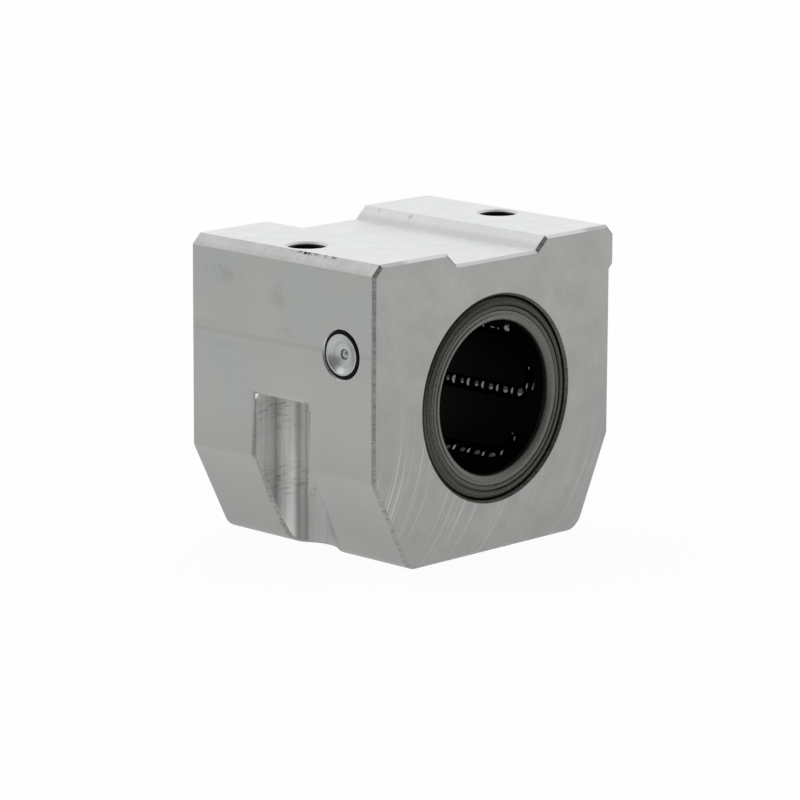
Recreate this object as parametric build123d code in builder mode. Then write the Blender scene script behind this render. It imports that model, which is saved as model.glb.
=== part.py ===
# Closed linear ball bearing unit for a 30 mm shaft: an aluminium housing with a compact ball bushing.
# X runs across the unit, Y along the shaft and Z up to the grooved mounting face. The origin is on the
# shaft's axis at mid-length, and the unit rests on its narrow foot. All sizes are in millimetres.
import os
from math import asin, cos, degrees, hypot, pi, radians, sin, sqrt

from build123d import *

# Shaft and housing block
shaft_diameter = 30.0
housing_width = 67.0
housing_length = 50.0
shaft_height = 30.0          # mounting face above the shaft's axis
foot_depth = 30.0            # foot below the shaft's axis
foot_width = 48.0
taper_height = 18.3          # foot to the bend where the sides turn straight
side_relief = 1.0            # how far the locating strip stands proud of its side
strip_height = 9.0           # mounting face to the strip's lower end
top_chamfer = 2.0
groove_width = 27.6
groove_floor_width = 22.2
groove_depth = 2.5
foot_fillet = 4.0
bend_fillet = 2.0
end_chamfer = 0.6

# Fixing screws and their pockets
screw_spacing = 53.0
screw_hole_diameter = 6.8    # core of an M8 thread, clear of an M6 screw
screw_mouth_diameter = 8.3
screw_mouth_angle = 90
pocket_width = 14.5
pocket_reach = 5.3           # centre of the pocket's round end, in from the side face
pocket_ceiling = 1.0         # screw head seat above the shaft's axis
pocket_nose_radius = 1.2
pocket_chamfer = 0.5

# Ball bushing
bushing_recess = 0.15        # how far each bushing end lies inside the housing
bushing_seat_gap = 0.01
bore_chamfer = 0.5
sleeve_wall = 1.0
rim_thickness = 0.9
rim_bend_radius = 1.5
rim_inside_radius = 0.7      # inside the same bend
rim_edge_radius = 0.2
sleeve_relief = 0.5          # depth of the relief where the balls turn
sleeve_oil_hole_diameter = 2.0
sleeve_oil_hole_place = 2.5  # in circuits from the first, so between the third and the fourth

# Balls and their tracks
ball_diameter = 3.969
ball_shaft_gap = 0.01
ball_sleeve_gap = 0.021
least_ball_gap = 0.015       # from ball to ball in a circuit
return_lift = 0.45           # return row further out than the loaded row
circuit_count = 7
first_row_angle = -9.0       # loaded row, from +X towards +Z
track_half_width = 3.8       # half the distance from loaded to return row
track_clearance = 0.09       # round each ball
track_end_wall = 0.98        # left of the cage beyond the turns

# Cage
cage_inner_gap = 0.07        # cage to shaft
cage_outer_gap = 0.1         # cage to sleeve
cage_end_gap = 0.25          # cage to seal retainer
cage_web = 0.35              # web under the balls
window_width = 2.8
window_turn_reach = 2.2      # how far the window follows the turn towards the return row

# Seals
seal_shaft_gap = 0.05
seal_height = 2.0            # shaft to the seal's outer edge
seal_lip_radius = 1.2
seal_lip_land = 0.05         # flat crest of the lip, outside its round
seal_lip_reach = 0.1         # lip in front of the bushing's end
seal_step = 0.25             # from the lip's crest back to the seal's outer face
seal_back_bevel = 0.2
ring_gap = 0.05              # between the seal, its retainer, the rim and the cage
retainer_wall = 1.1
retainer_flange_gap = 0.3    # retainer's flange to the sleeve's bore
retainer_flange_thickness = 0.5
retainer_recess = 0.05       # behind the end of the bushing
retainer_bead_radius = 0.3

# Lubrication nipple on the left side face
nipple_place = 8.75          # in from the front face
nipple_height = 12.0         # above the shaft's axis
nipple_diameter = 8.0
nipple_length = 8.0
nipple_rim = 0.35
nipple_edge_radius = 0.12
nipple_dish_depth = 1.0
nipple_dish_radius = 6.8
nipple_throat_diameter = 2.0
nipple_throat_length = 0.3
nipple_chamber_diameter = 2.9
nipple_end_wall = 0.6
nipple_outlet_diameter = 1.6
nipple_fit_gap = 0.01
nipple_ball_diameter = 2.4
nipple_ball_gap = 0.02
nipple_ring_width = 0.6
nipple_ring_depth = 1.5
nipple_ring_recess = 0.15
nipple_ring_crown = 0.25
nipple_mouth_chamfer = 0.4
oil_channel_diameter = 3.0
oil_groove_width = 4.0
oil_groove_depth = 0.5
spring_radius = 1.0
spring_wire_diameter = 0.3
spring_turns = 6
spring_gap = 0.1

# How near two positions or radii count as the same, and how often a search halves its span
close_enough = 0.001
search_steps = 40

# Sizes that follow from the ones above
side = housing_width / 2
end = housing_length / 2
bend_level = taper_height - foot_depth
shaft_radius = shaft_diameter / 2
ball_radius = ball_diameter / 2
loaded_radius = shaft_radius + ball_shaft_gap + ball_radius
return_radius = loaded_radius + return_lift
sleeve_inner_radius = loaded_radius + ball_radius + ball_sleeve_gap
bushing_radius = sleeve_inner_radius + sleeve_wall
housing_bore_radius = bushing_radius + bushing_seat_gap
bushing_end = end - bushing_recess
relief_radius = sleeve_inner_radius + sleeve_relief
rim_inside = bushing_end - rim_thickness
seal_radius = shaft_radius + seal_shaft_gap
seal_outer_radius = shaft_radius + seal_height
seal_lip_front = bushing_end + seal_lip_reach
seal_face = seal_lip_front - seal_step
seal_lip_outer_radius = seal_radius + seal_lip_radius + seal_lip_land
retainer_inner_radius = seal_outer_radius + ring_gap
retainer_outer_radius = retainer_inner_radius + retainer_wall
retainer_flange_radius = sleeve_inner_radius - retainer_flange_gap
retainer_shoulder = rim_inside - ring_gap
retainer_back = retainer_shoulder - retainer_flange_thickness
retainer_face = bushing_end - retainer_recess
rim_inner_radius = retainer_outer_radius + ring_gap
cage_inner_radius = shaft_radius + cage_inner_gap
cage_web_radius = cage_inner_radius + cage_web
cage_outer_radius = sleeve_inner_radius - cage_outer_gap
cage_end = retainer_back - cage_end_gap
seal_back = cage_end + ring_gap
track_radius = ball_radius + track_clearance
track_straight = 2 * (cage_end - track_end_wall - track_radius - track_half_width)
track_lap = 2 * (track_straight + pi * track_half_width)
circuit_pitch = 360 / circuit_count
row_to_middle = degrees(asin(track_half_width / loaded_radius))
middle_to_return = degrees(asin(track_half_width / return_radius))
first_circuit_angle = first_row_angle + row_to_middle
window_half_width = cage_web_radius * track_half_width / loaded_radius
nipple_offset = end - nipple_place
nipple_radius = nipple_diameter / 2
nipple_seat_radius = nipple_radius + nipple_ring_width
nipple_throat_end = nipple_dish_depth + nipple_throat_length
nipple_chamber_end = nipple_length - nipple_end_wall
nipple_ball_radius = nipple_ball_diameter / 2
nipple_ball_depth = (
    nipple_throat_end
    + sqrt(nipple_ball_radius**2 - (nipple_throat_diameter / 2) ** 2)
    + nipple_ball_gap
)
spring_wire_radius = spring_wire_diameter / 2
spring_start = nipple_ball_depth + sqrt(
    (nipple_ball_radius + spring_gap + spring_wire_radius) ** 2 - spring_radius**2
)
spring_length = nipple_chamber_end - spring_gap - spring_wire_radius - spring_start

# The nipple's own planes: in its section, local X runs into the housing and local Y is a radius
nipple_point = (-side, -nipple_offset, nipple_height)
nipple_section = Plane(origin=nipple_point, x_dir=(1, 0, 0), z_dir=(0, -1, 0))
nipple_mouth = Plane(origin=nipple_point, z_dir=(-1, 0, 0))
nipple_axis = Axis(nipple_point, (1, 0, 0))


# Plane through the shaft's axis that faces out at an angle, with local Y along the shaft to the front
def radial_plane(angle):
    outward = (cos(radians(angle)), 0, sin(radians(angle)))
    across = (-sin(radians(angle)), 0, cos(radians(angle)))
    return Plane(origin=(0, 0, 0), x_dir=across, z_dir=outward)


circuit_planes = [
    radial_plane(first_circuit_angle + number * circuit_pitch) for number in range(circuit_count)
]


# Point on the racetrack of one circuit, as (across, along), at a distance from its start.
# It goes up the loaded row, round the front turn, down the return row and round the rear turn.
def racetrack(distance):
    turn = pi * track_half_width
    distance %= track_lap
    if distance < track_straight:
        return -track_half_width, distance - track_straight / 2
    distance -= track_straight
    if distance < turn:
        angle = distance / track_half_width
        return -track_half_width * cos(angle), track_straight / 2 + track_half_width * sin(angle)
    across, along = racetrack(distance - turn)
    return -across, -along


# Distance of the next ball round the racetrack, one pitch from the last in a straight line. The
# longest way to it is half a circle over that line.
def next_ball(distance, pitch):
    here = racetrack(distance)
    low, high = pitch, pi / 2 * pitch
    for _ in range(search_steps):
        middle = (low + high) / 2
        there = racetrack(distance + middle)
        if hypot(there[0] - here[0], there[1] - here[1]) < pitch:
            low = middle
        else:
            high = middle
    return distance + high


# Distances of the balls of one circuit. As many balls go in as fit with the least gap between them,
# and then the pitch grows until the last one meets the first.
def ball_distances():
    distances = [0.0]
    while distances[-1] <= track_lap:
        distances.append(next_ball(distances[-1], ball_diameter + least_ball_gap))
    count = len(distances) - 2
    low, high = ball_diameter, 2 * ball_diameter
    for _ in range(search_steps):
        pitch = (low + high) / 2
        distances = [0.0]
        while len(distances) <= count:
            distances.append(next_ball(distances[-1], pitch))
        if distances[-1] < track_lap:
            low = pitch
        else:
            high = pitch
    return distances[:-1]


# Centre of a ball in its circuit's plane: it climbs from the loaded radius to the return radius
# before the window ends
def ball_centre(distance):
    across, along = racetrack(distance)
    climb = (across + track_half_width) / (window_turn_reach + track_half_width)
    radius = loaded_radius + return_lift * min(1, climb)
    return across, along, sqrt(radius**2 - across**2)


# Edges where the pockets break through the outside: the edges of their walls, apart from those that
# two walls share and those at the rounded seat
def pocket_mouths(solid):
    flat_walls = solid.faces().filter_by(Plane.XZ)
    flat_walls = flat_walls.filter_by_position(Axis.Y, -pocket_width, pocket_width)
    round_walls = solid.faces().filter_by(GeomType.CYLINDER)
    round_walls = round_walls.filter_by(
        lambda face: abs(face.radius - pocket_width / 2) < close_enough
    )
    edges = (flat_walls + round_walls).edges()
    seat_level = pocket_ceiling - pocket_nose_radius
    return edges.filter_by(
        lambda edge: edge.position_at(0.5).Z < seat_level - close_enough
        and sum(edge.is_same(other) for other in edges) == 1
    )


# Screw pocket of the left side, as the cutter leaves it: open at the side and at the foot, with a
# round inner end and a rounded edge under the screw head's seat
with BuildPart() as pocket:
    with BuildSketch(Plane.XY.offset(pocket_ceiling)):
        with Locations((pocket_reach - side, 0)):
            Circle(pocket_width / 2)
            Rectangle(2 * pocket_reach, pocket_width, align=(Align.MAX, Align.CENTER))
    extrude(amount=-(pocket_ceiling + foot_depth + end_chamfer))
    fillet(pocket.faces().sort_by(Axis.Z)[-1].edges(), pocket_nose_radius)

# Housing: the extruded section, with its ends milled and chamfered
with BuildPart() as housing:
    with BuildSketch(Plane.XZ) as section:
        with BuildLine():
            Polyline(
                (-foot_width / 2, -foot_depth),
                (foot_width / 2, -foot_depth),
                (side - side_relief, bend_level),
                (side - side_relief, shaft_height - strip_height),
                (side, shaft_height - strip_height + side_relief),
                (side, shaft_height - top_chamfer),
                (side - top_chamfer, shaft_height),
                (groove_width / 2, shaft_height),
                (groove_floor_width / 2, shaft_height - groove_depth),
                (-groove_floor_width / 2, shaft_height - groove_depth),
                (-groove_width / 2, shaft_height),
                (top_chamfer - side, shaft_height),
                (-side, shaft_height - top_chamfer),
                (-side, bend_level),
                close=True,
            )
        make_face()
        fillet(section.vertices().group_by(Axis.Y)[0], foot_fillet)
        bends = section.vertices().filter_by_position(
            Axis.Y, bend_level - close_enough, bend_level + close_enough
        )
        fillet(bends, bend_fillet)
    extrude(amount=end, both=True)
    chamfer(housing.faces().sort_by(Axis.Y)[0].edges(), end_chamfer)
    chamfer(housing.faces().sort_by(Axis.Y)[-1].edges(), end_chamfer)

    # Screw pockets on both sides, with the edges of their mouths broken
    add(pocket.part, mode=Mode.SUBTRACT)
    mirror(pocket.part, about=Plane.YZ, mode=Mode.SUBTRACT)
    chamfer(pocket_mouths(housing), pocket_chamfer)

    # Bore for the bushing, with an oil groove round it
    with BuildSketch(Plane.XZ):
        Circle(housing_bore_radius)
    extrude(amount=end, both=True, mode=Mode.SUBTRACT)
    bore_edges = housing.edges().filter_by(GeomType.CIRCLE)
    bore_edges = bore_edges.filter_by(
        lambda edge: abs(edge.radius - housing_bore_radius) < close_enough
    )
    chamfer(bore_edges, bore_chamfer)
    with BuildSketch(Plane.XZ.offset(nipple_offset)):
        Circle(housing_bore_radius + oil_groove_depth)
    extrude(amount=oil_groove_width / 2, both=True, mode=Mode.SUBTRACT)

    # Tapped screw holes from the mounting face down into the pockets
    with Locations(Plane.XY.offset(shaft_height)):
        with GridLocations(screw_spacing, 0, 2, 1):
            CounterSinkHole(
                radius=screw_hole_diameter / 2,
                counter_sink_radius=screw_mouth_diameter / 2,
                depth=shaft_height - pocket_ceiling + pocket_nose_radius,
                counter_sink_angle=screw_mouth_angle,
            )

    # Seat of the nipple, and the oil channel from it to the groove round the bushing
    with Locations(nipple_mouth):
        CounterBoreHole(
            radius=nipple_radius + nipple_fit_gap,
            counter_bore_radius=nipple_seat_radius,
            counter_bore_depth=nipple_ring_depth,
            depth=nipple_length + nipple_fit_gap,
        )
        Hole(radius=oil_channel_diameter / 2, depth=side)
    seat_edges = housing.edges().filter_by(GeomType.CIRCLE)
    seat_edges = seat_edges.filter_by_position(
        Axis.X, -side - close_enough, -side + close_enough
    )
    chamfer(seat_edges, nipple_mouth_chamfer)
housing.part.label = "housing"

# Outer sleeve: drawn steel, with both ends turned in over the seals
with BuildPart() as outer_sleeve:
    with BuildSketch(Plane.XY) as wall:
        with BuildLine():
            Polyline(
                (rim_inner_radius, -bushing_end),
                (bushing_radius, -bushing_end),
                (bushing_radius, bushing_end),
                (rim_inner_radius, bushing_end),
                (rim_inner_radius, rim_inside),
                (relief_radius, rim_inside),
                (relief_radius, track_straight / 2),
                (sleeve_inner_radius, track_straight / 2),
                (sleeve_inner_radius, -track_straight / 2),
                (relief_radius, -track_straight / 2),
                (relief_radius, -rim_inside),
                (rim_inner_radius, -rim_inside),
                close=True,
            )
        make_face()
        relief_corners = wall.vertices().filter_by_position(
            Axis.X, relief_radius - close_enough, relief_radius + close_enough
        )
        relief_corners = relief_corners.sort_by(Axis.Y)
        fillet(wall.vertices().group_by(Axis.X)[-1], rim_bend_radius)
        fillet([relief_corners[0], relief_corners[-1]], rim_inside_radius)
        rim_edges = wall.vertices().group_by(Axis.X)[0]
        fillet(rim_edges.sort_by(Axis.Y)[0] + rim_edges.sort_by(Axis.Y)[-1], rim_edge_radius)
    revolve(axis=Axis.Y)

    # Shallow grooves over the return rows, so that only the loaded rows bear on the sleeve
    with BuildSketch(Plane.XZ):
        with PolarLocations(
            return_radius, circuit_count, start_angle=first_circuit_angle + middle_to_return
        ):
            Circle(track_radius)
    extrude(amount=track_straight / 2 + track_radius, both=True, mode=Mode.SUBTRACT)

    # Oil hole under the housing's groove, between two circuits
    oil_hole_angle = first_circuit_angle + sleeve_oil_hole_place * circuit_pitch
    with Locations(radial_plane(oil_hole_angle).offset(bushing_radius)):
        with Locations((0, nipple_offset)):
            Hole(radius=sleeve_oil_hole_diameter / 2, depth=2 * sleeve_wall)
outer_sleeve.part.label = "outer_sleeve"

# Track of one circuit, as cut into the cage: a racetrack channel for whole balls, down to a thin web
with BuildPart() as track:
    with BuildSketch(Plane.XY):
        SlotCenterToCenter(track_straight, 2 * (track_half_width + track_radius), rotation=90)
        SlotCenterToCenter(
            track_straight,
            2 * (track_half_width - track_radius),
            rotation=90,
            mode=Mode.SUBTRACT,
        )
    extrude(amount=bushing_radius)
    with BuildSketch(Plane.XZ):
        Circle(cage_web_radius)
    extrude(amount=end, both=True, mode=Mode.SUBTRACT)

# Window of one circuit, through the web: the loaded balls reach the shaft through it, and it follows
# both turns part of the way, where the balls climb
with BuildPart() as window:
    with BuildSketch(Plane.XY):
        SlotCenterToCenter(track_straight, 2 * window_half_width + window_width, rotation=90)
        SlotCenterToCenter(
            track_straight,
            2 * window_half_width - window_width,
            rotation=90,
            mode=Mode.SUBTRACT,
        )
        return_side = window_half_width + window_width
        Rectangle(
            return_side, track_straight, align=(Align.MIN, Align.CENTER), mode=Mode.SUBTRACT
        )
        with Locations((window_turn_reach, 0)):
            Rectangle(
                return_side, 2 * cage_end, align=(Align.MIN, Align.CENTER), mode=Mode.SUBTRACT
            )
    extrude(amount=cage_web_radius + ball_radius)

# Ball cage: one moulded ring that guides all the closed circuits
with BuildPart() as ball_cage:
    with BuildSketch(Plane.XZ):
        Circle(cage_outer_radius)
        Circle(cage_inner_radius, mode=Mode.SUBTRACT)
    extrude(amount=cage_end, both=True)
    with Locations(*circuit_planes):
        add(track.part, mode=Mode.SUBTRACT)
        add(window.part, mode=Mode.SUBTRACT)
ball_cage.part.label = "ball_cage"

# Balls: each circuit as its loaded row and its return row, with the balls in the turns shared out
ball_centres = [ball_centre(distance) for distance in ball_distances()]
ball_rows = []
for number, circuit_plane in enumerate(circuit_planes, start=1):
    with BuildPart() as load_row:
        with Locations(circuit_plane):
            with Locations(*(centre for centre in ball_centres if centre[0] < 0)):
                Sphere(ball_radius)
    load_row.part.label = f"load_row_{number}"
    with BuildPart() as return_row:
        with Locations(circuit_plane):
            with Locations(*(centre for centre in ball_centres if centre[0] >= 0)):
                Sphere(ball_radius)
    return_row.part.label = f"return_row_{number}"
    ball_rows += [load_row, return_row]

# Front seal: a moulded ring whose lip rounds off inwards to the shaft, with a low step round the lip
with BuildPart() as front_seal:
    with BuildSketch(Plane.XY) as seal_section:
        with BuildLine():
            Polyline(
                (seal_radius, -seal_lip_front),
                (seal_lip_outer_radius, -seal_lip_front),
                (seal_lip_outer_radius, -seal_face),
                (seal_outer_radius, -seal_face),
                (seal_outer_radius, -seal_back),
                (seal_outer_radius - ring_gap, -seal_back),
                (seal_radius, -seal_back - seal_back_bevel),
                close=True,
            )
        make_face()
        fillet(
            seal_section.vertices().group_by(Axis.Y)[0].sort_by(Axis.X)[0],
            seal_lip_radius,
        )
    revolve(axis=Axis.Y)
front_seal.part.label = "front_seal"

# Front seal retainer: a turned ring behind the sleeve's rim, with a rounded bead in front
with BuildPart() as front_seal_retainer:
    with BuildSketch(Plane.XY) as ring_section:
        with BuildLine():
            Polyline(
                (retainer_inner_radius, -retainer_back),
                (retainer_flange_radius, -retainer_back),
                (retainer_flange_radius, -retainer_shoulder),
                (retainer_outer_radius, -retainer_shoulder),
                (retainer_outer_radius, -retainer_face),
                (retainer_inner_radius, -retainer_face),
                close=True,
            )
        make_face()
        fillet(ring_section.vertices().group_by(Axis.Y)[0], retainer_bead_radius)
    revolve(axis=Axis.Y)
front_seal_retainer.part.label = "front_seal_retainer"

# Rear seal and retainer: the same pieces, turned round
with BuildPart() as rear_seal:
    mirror(front_seal.part, about=Plane.XZ)
rear_seal.part.label = "rear_seal"

with BuildPart() as rear_seal_retainer:
    mirror(front_seal_retainer.part, about=Plane.XZ)
rear_seal_retainer.part.label = "rear_seal_retainer"

# Nipple body: a turned plug with a dished face, a throat for the ball and a chamber for the spring
with BuildPart() as nipple_body:
    with BuildSketch(nipple_section) as plug_section:
        with BuildLine():
            Polyline(
                (0, nipple_radius - nipple_rim),
                (0, nipple_radius),
                (nipple_length, nipple_radius),
                (nipple_length, nipple_outlet_diameter / 2),
                (nipple_chamber_end, nipple_outlet_diameter / 2),
                (nipple_chamber_end, nipple_chamber_diameter / 2),
                (nipple_throat_end, nipple_chamber_diameter / 2),
                (nipple_throat_end, nipple_throat_diameter / 2),
                (nipple_dish_depth, nipple_throat_diameter / 2),
            )
            RadiusArc(
                (nipple_dish_depth, nipple_throat_diameter / 2),
                (0, nipple_radius - nipple_rim),
                -nipple_dish_radius,
            )
        make_face()
        fillet(plug_section.vertices().group_by(Axis.X)[0], nipple_edge_radius)
    revolve(axis=nipple_axis)
nipple_body.part.label = "nipple_body"

# Nipple ball: closes the throat from inside
with BuildPart() as nipple_ball:
    with Locations(nipple_mouth.offset(-nipple_ball_depth)):
        Sphere(nipple_ball_radius)
nipple_ball.part.label = "nipple_ball"

# Nipple spring: holds the ball against the throat
with BuildPart() as nipple_spring:
    with BuildLine():
        coil = Helix(
            pitch=spring_length / spring_turns,
            height=spring_length,
            radius=spring_radius,
            center=(spring_start - side, -nipple_offset, nipple_height),
            direction=(1, 0, 0),
        )
    with BuildSketch(Plane(origin=coil @ 0, z_dir=coil % 0)):
        Circle(spring_wire_radius)
    sweep(is_frenet=True)
nipple_spring.part.label = "nipple_spring"

# Nipple ring: the soft ring between the nipple and its seat
with BuildPart() as nipple_ring:
    with BuildSketch(nipple_section) as ring_profile:
        with BuildLine():
            Polyline(
                (nipple_ring_recess, nipple_radius + nipple_fit_gap),
                (nipple_ring_recess, nipple_seat_radius - nipple_fit_gap),
                (nipple_ring_depth - nipple_fit_gap, nipple_seat_radius - nipple_fit_gap),
                (nipple_ring_depth - nipple_fit_gap, nipple_radius + nipple_fit_gap),
                close=True,
            )
        make_face()
        fillet(ring_profile.vertices().group_by(Axis.X)[0], nipple_ring_crown)
    revolve(axis=nipple_axis)
nipple_ring.part.label = "nipple_ring"

# One file for each piece
pieces = [
    housing,
    outer_sleeve,
    ball_cage,
    *ball_rows,
    front_seal,
    front_seal_retainer,
    rear_seal,
    rear_seal_retainer,
    nipple_body,
    nipple_ball,
    nipple_spring,
    nipple_ring,
]
os.makedirs("parts", exist_ok=True)
for piece in pieces:
    export_step(piece.part, f"parts/{piece.part.label}.step")
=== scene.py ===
# Closed linear ball bearing unit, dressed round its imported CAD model. Lengths in the dictionaries are
# in millimetres unless a note says otherwise, and mm turns them into Blender's metres.
import math

import bmesh
import bpy
from mathutils import Matrix, Vector


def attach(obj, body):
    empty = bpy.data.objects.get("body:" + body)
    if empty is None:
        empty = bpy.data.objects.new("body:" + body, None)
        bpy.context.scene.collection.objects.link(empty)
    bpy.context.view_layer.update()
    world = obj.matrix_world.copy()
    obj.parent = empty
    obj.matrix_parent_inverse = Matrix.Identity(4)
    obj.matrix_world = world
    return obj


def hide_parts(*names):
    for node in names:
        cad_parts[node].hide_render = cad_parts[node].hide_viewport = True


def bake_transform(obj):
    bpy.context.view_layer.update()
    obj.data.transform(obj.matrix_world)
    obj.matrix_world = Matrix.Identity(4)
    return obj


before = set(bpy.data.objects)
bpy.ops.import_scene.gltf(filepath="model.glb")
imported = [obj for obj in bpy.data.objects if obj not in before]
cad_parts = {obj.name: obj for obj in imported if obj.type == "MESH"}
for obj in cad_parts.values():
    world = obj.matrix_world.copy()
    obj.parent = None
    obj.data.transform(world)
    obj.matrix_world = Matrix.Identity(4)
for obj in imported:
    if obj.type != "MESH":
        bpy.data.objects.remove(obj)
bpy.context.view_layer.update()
mm = 0.001
print("frame loaded:", len(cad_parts), "nodes")


def linear(hexCode):
    # sRGB hex to the linear colour that a shader takes
    channels = [int(hexCode[place:place + 2], 16) / 255 for place in (1, 3, 5)]
    return [c / 12.92 if c <= 0.04045 else ((c + 0.055) / 1.055) ** 2.4 for c in channels] + [1]


def addNode(tree, kind, settings=None, links=None):
    # One shader node, with its settings by property or socket and its links by socket
    node = tree.nodes.new("ShaderNode" + kind)
    for name, value in (settings or {}).items():
        if isinstance(name, str) and hasattr(node, name):
            setattr(node, name, value)
        else:
            node.inputs[name].default_value = value
    for socket, source in (links or {}).items():
        tree.links.new(source, node.inputs[socket])
    return node.outputs


def newMaterial(name, finish):
    # A material with one shader, set to its finish, and its object coordinates in millimetres
    material = bpy.data.materials.new(name)
    material.use_nodes = True
    tree = material.node_tree
    tree.nodes.clear()
    shader = tree.nodes.new("ShaderNodeBsdfPrincipled")
    for socket, value in finish.items():
        shader.inputs[socket].default_value = value
    addNode(tree, "OutputMaterial", {}, {0: shader.outputs[0]})
    place = addNode(tree, "TexCoord")["Object"]
    scaled = addNode(tree, "VectorMath", {"operation": "SCALE", "Scale": 1 / mm}, {0: place})
    axes = addNode(tree, "SeparateXYZ", {}, {0: scaled[0]})
    return material, tree, shader, scaled[0], axes


def fadeAround(tree, value, middle, outer, inner, curve="SMOOTHSTEP", most=1.0):
    # How near a value is to its middle: most of the way in, fading to nothing at the outer distance
    away = addNode(tree, "Math", {"operation": "SUBTRACT", 1: middle}, {0: value})[0]
    away = addNode(tree, "Math", {"operation": "ABSOLUTE"}, {0: away})[0]
    return addNode(tree, "MapRange", {"interpolation_type": curve, "From Min": outer, "From Max": inner,
                                      "To Max": most}, {"Value": away})[0]


def makeObject(mesh, name, materials):
    # The finished mesh as an object at the origin, with its materials
    data = bpy.data.meshes.new(name)
    mesh.to_mesh(data)
    mesh.free()
    for material in materials:
        data.materials.append(material)
    made = bpy.data.objects.new(name, data)
    bpy.context.scene.collection.objects.link(made)
    return made


# Camera and studio: the photograph's own view, solved from the block's outline, over a pale sweep
view = {
    "place": (-574.844, -561.936, 169.981),
    "azimuth": 45.629,      # degrees from +Y towards +X
    "lookDown": 12.198,
    "roll": 0.266,
    "lens": 188.41,
    "sensor": 36.0,
    "shift": (-0.0025, -0.0025),
}
cameraData = bpy.data.cameras.new("photoCamera")
cameraData.lens = view["lens"]
cameraData.sensor_width = view["sensor"]
cameraData.shift_x, cameraData.shift_y = view["shift"]
cameraData.clip_start, cameraData.clip_end = 0.01, 50
camera = bpy.data.objects.new("photoCamera", cameraData)
aim = (
    Matrix.Rotation(math.radians(-view["azimuth"]), 4, "Z")
    @ Matrix.Rotation(math.radians(90 - view["lookDown"]), 4, "X")
    @ Matrix.Rotation(math.radians(view["roll"]), 4, "Z")
)
camera.matrix_world = Matrix.Translation(Vector(view["place"]) * mm) @ aim
bpy.context.scene.collection.objects.link(camera)
bpy.context.scene.camera = camera
bpy.context.scene.view_settings.view_transform = "Standard"

studio = {
    "forward": (math.sin(math.radians(view["azimuth"])), math.cos(math.radians(view["azimuth"])), 0),
    "nearLight": 0.25,       # strength of the room's light on the side that the photograph is taken from
    "farLight": 0.94,        # and behind the unit, where 1 is white
    "nearFrom": -0.5,        # share of a direction that points forward, where the room starts to brighten
    "farFrom": 0.36,
    "floorHeight": -30.02,   # a hair under the foot, so that the two don't flicker
    "floorRadius": 6000.0,
    "floorWhiteFrom": -0.18,  # metres along the view, where the sweep's white begins
    "floorDimFrom": -0.6,
    "floorDim": 0.3,
    "floorWhite": 1.02,
    "floorGlow": 0.93,       # share of the floor that stays white, and so takes no shadow
    "floorCard": 0.86,       # how white the card under that glow is
    "softbox": ((-0.85, 0.75, 0.7), 0.6, 1.6),  # place and size in metres, and watts
}


def makeWorld():
    world = bpy.data.worlds.new("softRoom")
    world.use_nodes = True
    tree = world.node_tree
    tree.nodes.clear()
    direction = addNode(tree, "TexCoord")["Generated"]
    along = addNode(tree, "VectorMath", {"operation": "DOT_PRODUCT", 1: studio["forward"]},
                    {0: direction})["Value"]
    strength = addNode(tree, "MapRange", {
        "interpolation_type": "SMOOTHSTEP", "From Min": studio["nearFrom"], "From Max": studio["farFrom"],
        "To Min": studio["nearLight"], "To Max": studio["farLight"]}, {"Value": along})[0]
    glow = addNode(tree, "Background", {0: (1, 1, 1, 1)}, {1: strength})
    addNode(tree, "OutputWorld", {}, {0: glow[0]})
    bpy.context.scene.world = world


def whitePaper():
    # White paper sweep: matt card, which the camera and glossy surfaces see evenly lit
    material = bpy.data.materials.new("whitePaperSweep")
    material.use_nodes = True
    tree = material.node_tree
    tree.nodes.clear()
    rays = addNode(tree, "LightPath")
    seen = addNode(tree, "Math", {"operation": "MAXIMUM"},
                   {0: rays["Is Camera Ray"], 1: rays["Is Glossy Ray"]})[0]
    seen = addNode(tree, "Math", {"operation": "MAXIMUM"}, {0: seen, 1: rays["Is Transmission Ray"]})[0]
    share = addNode(tree, "Math", {"operation": "MULTIPLY", 1: studio["floorGlow"]}, {0: seen})[0]
    place = addNode(tree, "TexCoord")["Object"]
    along = addNode(tree, "VectorMath", {"operation": "DOT_PRODUCT", 1: studio["forward"]},
                    {0: place})["Value"]
    level = addNode(tree, "MapRange", {
        "interpolation_type": "SMOOTHSTEP", "From Min": studio["floorDimFrom"],
        "From Max": studio["floorWhiteFrom"], "To Min": studio["floorDim"], "To Max": studio["floorWhite"]},
        {"Value": along})[0]
    white = addNode(tree, "Emission", {0: (1, 1, 1, 1)}, {1: level})
    card = addNode(tree, "BsdfDiffuse", {0: (*[studio["floorCard"]] * 3, 1)})
    mixed = addNode(tree, "MixShader", {}, {0: share, 1: card[0], 2: white[0]})
    addNode(tree, "OutputMaterial", {}, {0: mixed[0]})
    return material


def makeFloor():
    mesh = bmesh.new()
    bmesh.ops.create_circle(mesh, cap_ends=True, segments=96, radius=studio["floorRadius"] * mm,
                            matrix=Matrix.Translation((0, 0, studio["floorHeight"] * mm)))
    floor = makeObject(mesh, "paleFloor", [whitePaper()])


def addLamp(name, place, size, watts):
    data = bpy.data.lights.new(name, "AREA")
    data.shape = "SQUARE"
    data.size = size
    data.energy = watts
    lamp = bpy.data.objects.new(name, data)
    lamp.rotation_euler = (-Vector(place)).to_track_quat("-Z", "Y").to_euler()
    lamp.location = place
    bpy.context.scene.collection.objects.link(lamp)


makeWorld()
makeFloor()
addLamp("leftSoftbox", *studio["softbox"])
print("camera, sweep and lamp placed")


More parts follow.
